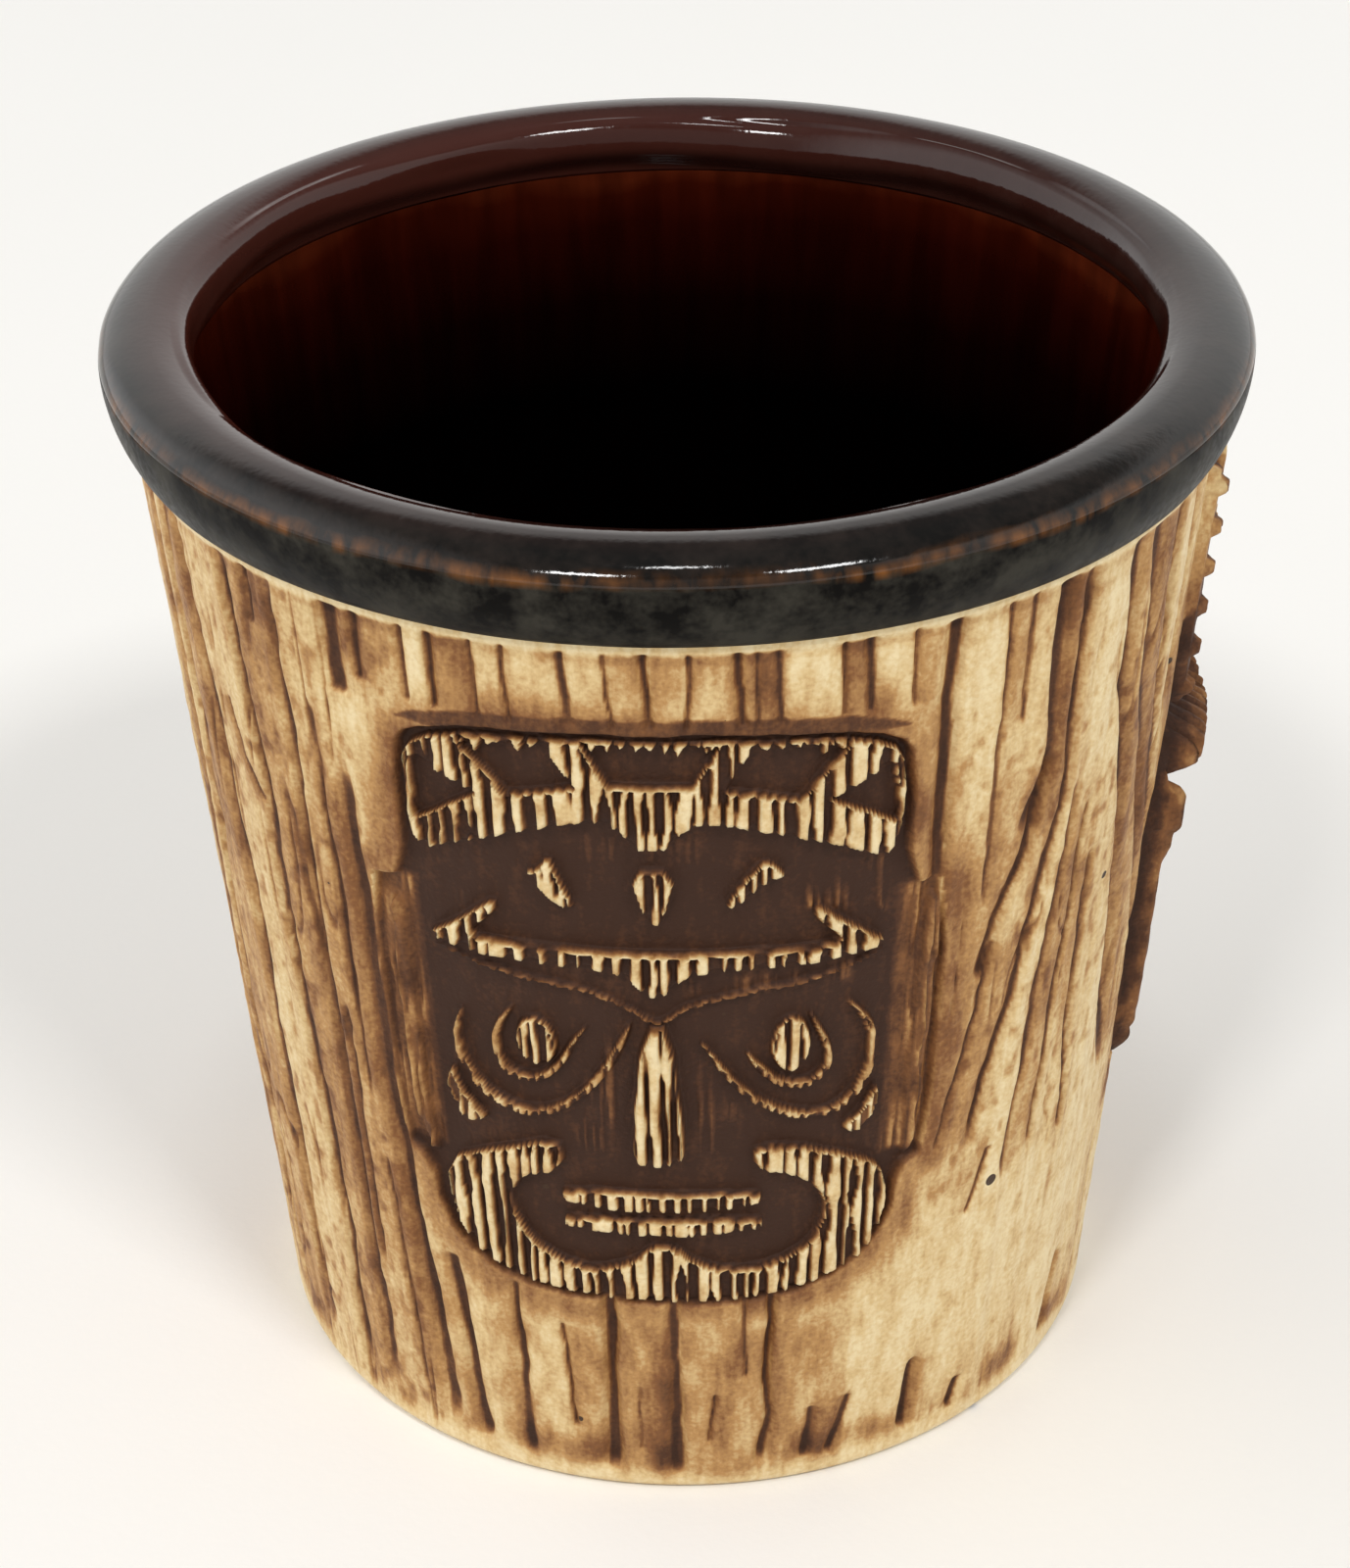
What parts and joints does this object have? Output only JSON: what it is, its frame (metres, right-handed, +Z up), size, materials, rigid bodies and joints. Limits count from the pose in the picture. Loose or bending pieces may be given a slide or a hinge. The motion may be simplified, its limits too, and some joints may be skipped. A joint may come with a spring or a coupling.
{
  "type": "tiki mug",
  "caption": "Tapered ceramic tiki mug with carved bark walls, raised tribal masks round its sides and a thick dark glazed rim.",
  "frame": {"origin": "centre of the foot, on the surface that the mug stands on", "axes": "+Z up along the cup's axis, -Y towards the front mask, +X to the viewer's right"},
  "size_m": [0.1, 0.1, 0.102],
  "materials": {
    "bark_clay": "cream clay with brown stain in the carved grooves, satin",
    "mask_clay": "cream clay with brown stain in the cuts, satin",
    "mask_field_stain": "dark chocolate stain, satin",
    "rim_glaze": "very dark brown glaze, glossy on top and satin below",
    "inner_glaze": "near-black oxblood glaze, glossy"
  },
  "bodies": {
    "root": {"clay_floor": "bark_clay", "clay_wall": "bark_clay", "front_mask_brow": "mask_clay", "front_mask_cheeks": "mask_clay", "front_mask_ears": "mask_clay", "front_mask_eyes": "mask_clay", "front_mask_field": "mask_field_stain", "front_mask_forehead_marks": "mask_clay", "front_mask_headdress": "mask_clay", "front_mask_jaw": "mask_clay", "front_mask_nose": "mask_clay", "front_mask_teeth": "mask_clay", "inner_glaze": "inner_glaze", "left_mask_beard": "mask_clay", "left_mask_brow": "mask_clay", "left_mask_cheek_scars": "mask_clay", "left_mask_crown": "mask_clay", "left_mask_ears": "mask_clay", "left_mask_eyes": "mask_clay", "left_mask_field": "mask_field_stain", "left_mask_mouth": "mask_clay", "left_mask_nose": "mask_clay", "right_mask_braids": "mask_clay", "right_mask_brow": "mask_clay", "right_mask_cheek_bars": "mask_clay", "right_mask_ears": "mask_clay", "right_mask_eyes": "mask_clay", "right_mask_field": "mask_field_stain", "right_mask_forehead_diamond": "mask_clay", "right_mask_headdress": "mask_clay", "right_mask_mouth": "mask_clay", "right_mask_nose": "mask_clay", "rim_glaze": "rim_glaze"}
  },
  "joints": []
}
